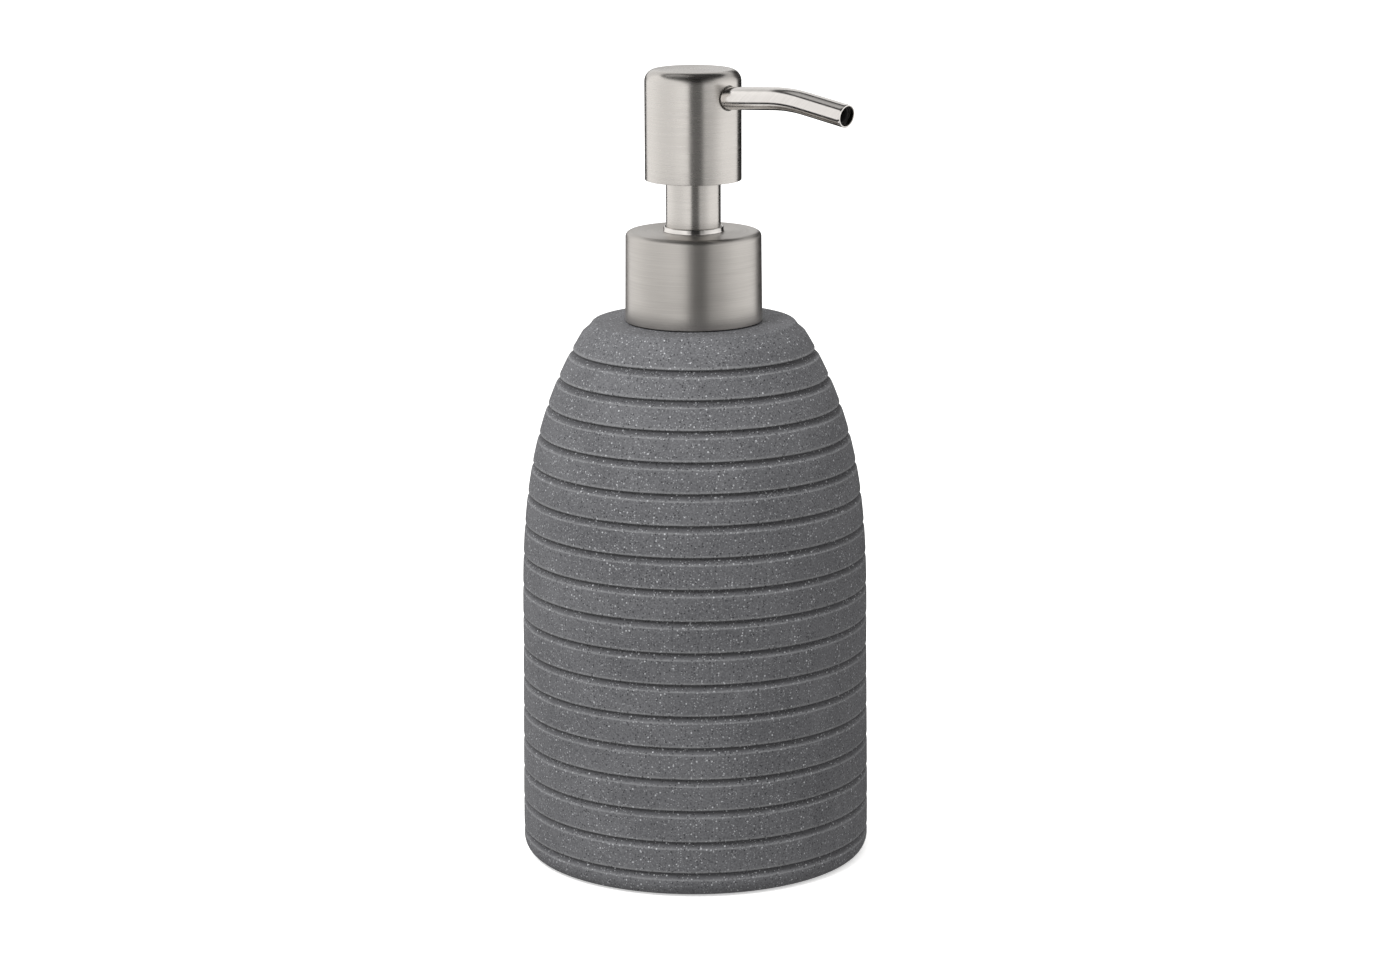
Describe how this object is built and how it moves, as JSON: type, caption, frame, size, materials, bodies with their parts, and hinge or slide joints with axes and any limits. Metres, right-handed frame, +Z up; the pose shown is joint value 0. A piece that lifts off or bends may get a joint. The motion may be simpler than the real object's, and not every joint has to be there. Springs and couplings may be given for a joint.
{
  "type": "soap pump dispenser",
  "caption": "Refillable countertop soap bottle in ribbed stone-look resin with a brushed steel lotion pump, screw-off collar and turning nozzle.",
  "frame": {"origin": "centre of the foot pad's underside, on the bottle's axis, where it meets the table", "axes": "+Z up along the bottle and pump axis, +X the way the nozzle points at rest, +Y completes the right-handed frame"},
  "size_m": [0.0857, 0.08, 0.1811],
  "materials": {
    "stone_resin": "matte",
    "natural_plastic": "satin",
    "white_plastic": "satin",
    "foam_rubber": "matte",
    "brushed_steel": "satin",
    "bright_steel": "gloss"
  },
  "bodies": {
    "bottle": {"bottle_shell": "stone_resin", "liner_bottle": "natural_plastic", "base_plug": "stone_resin", "foot_pad": "foam_rubber"},
    "pump": {"neck_gasket": "foam_rubber", "pump_housing": "natural_plastic", "stem_guide": "white_plastic", "ball_cage": "white_plastic", "return_spring": "bright_steel", "dip_tube": "natural_plastic"},
    "valve_ball": {"inlet_ball": "bright_steel"},
    "collar": {"collar_shell": "brushed_steel", "screw_cap": "white_plastic", "stem_ring": "bright_steel"},
    "plunger": {"stem_tube": "white_plastic", "piston_rod": "white_plastic"},
    "piston_sleeve": {"piston": "natural_plastic"},
    "head": {"head_shell": "brushed_steel", "actuator_core": "white_plastic", "stem_sleeve": "brushed_steel", "nozzle_tube": "bright_steel", "nozzle_liner": "natural_plastic"}
  },
  "joints": [
    {"name": "pump_rise", "type": "slide", "parent": "bottle", "child": "pump", "axis": [0, 0, 1], "range_m": [0, 0.00636]},
    {"name": "collar_turn", "type": "hinge", "parent": "pump", "child": "collar", "pos_m": [0, 0, 0.134], "axis": [0, 0, 1], "range_deg": [0, 540]},
    {"name": "head_press", "type": "slide", "parent": "pump", "child": "plunger", "axis": [0, 0, -1], "range_m": [0, 0.01], "stiffness_N_per_m": 900, "springref_m": -0.008, "deforming": ["return_spring"]},
    {"name": "head_swivel", "type": "hinge", "parent": "plunger", "child": "head", "pos_m": [0, 0, 0.16], "axis": [0, 0, 1], "continuous": true},
    {"name": "piston_float", "type": "slide", "parent": "plunger", "child": "piston_sleeve", "axis": [0, 0, 1], "range_m": [0, 0.0012]},
    {"name": "ball_lift", "type": "slide", "parent": "pump", "child": "valve_ball", "axis": [0, 0, 1], "range_m": [0, 0.0012]}
  ],
  "couplings": [
    {"joint": "pump_rise", "follows": "collar_turn", "m_per_rad": 0.0006737}
  ]
}
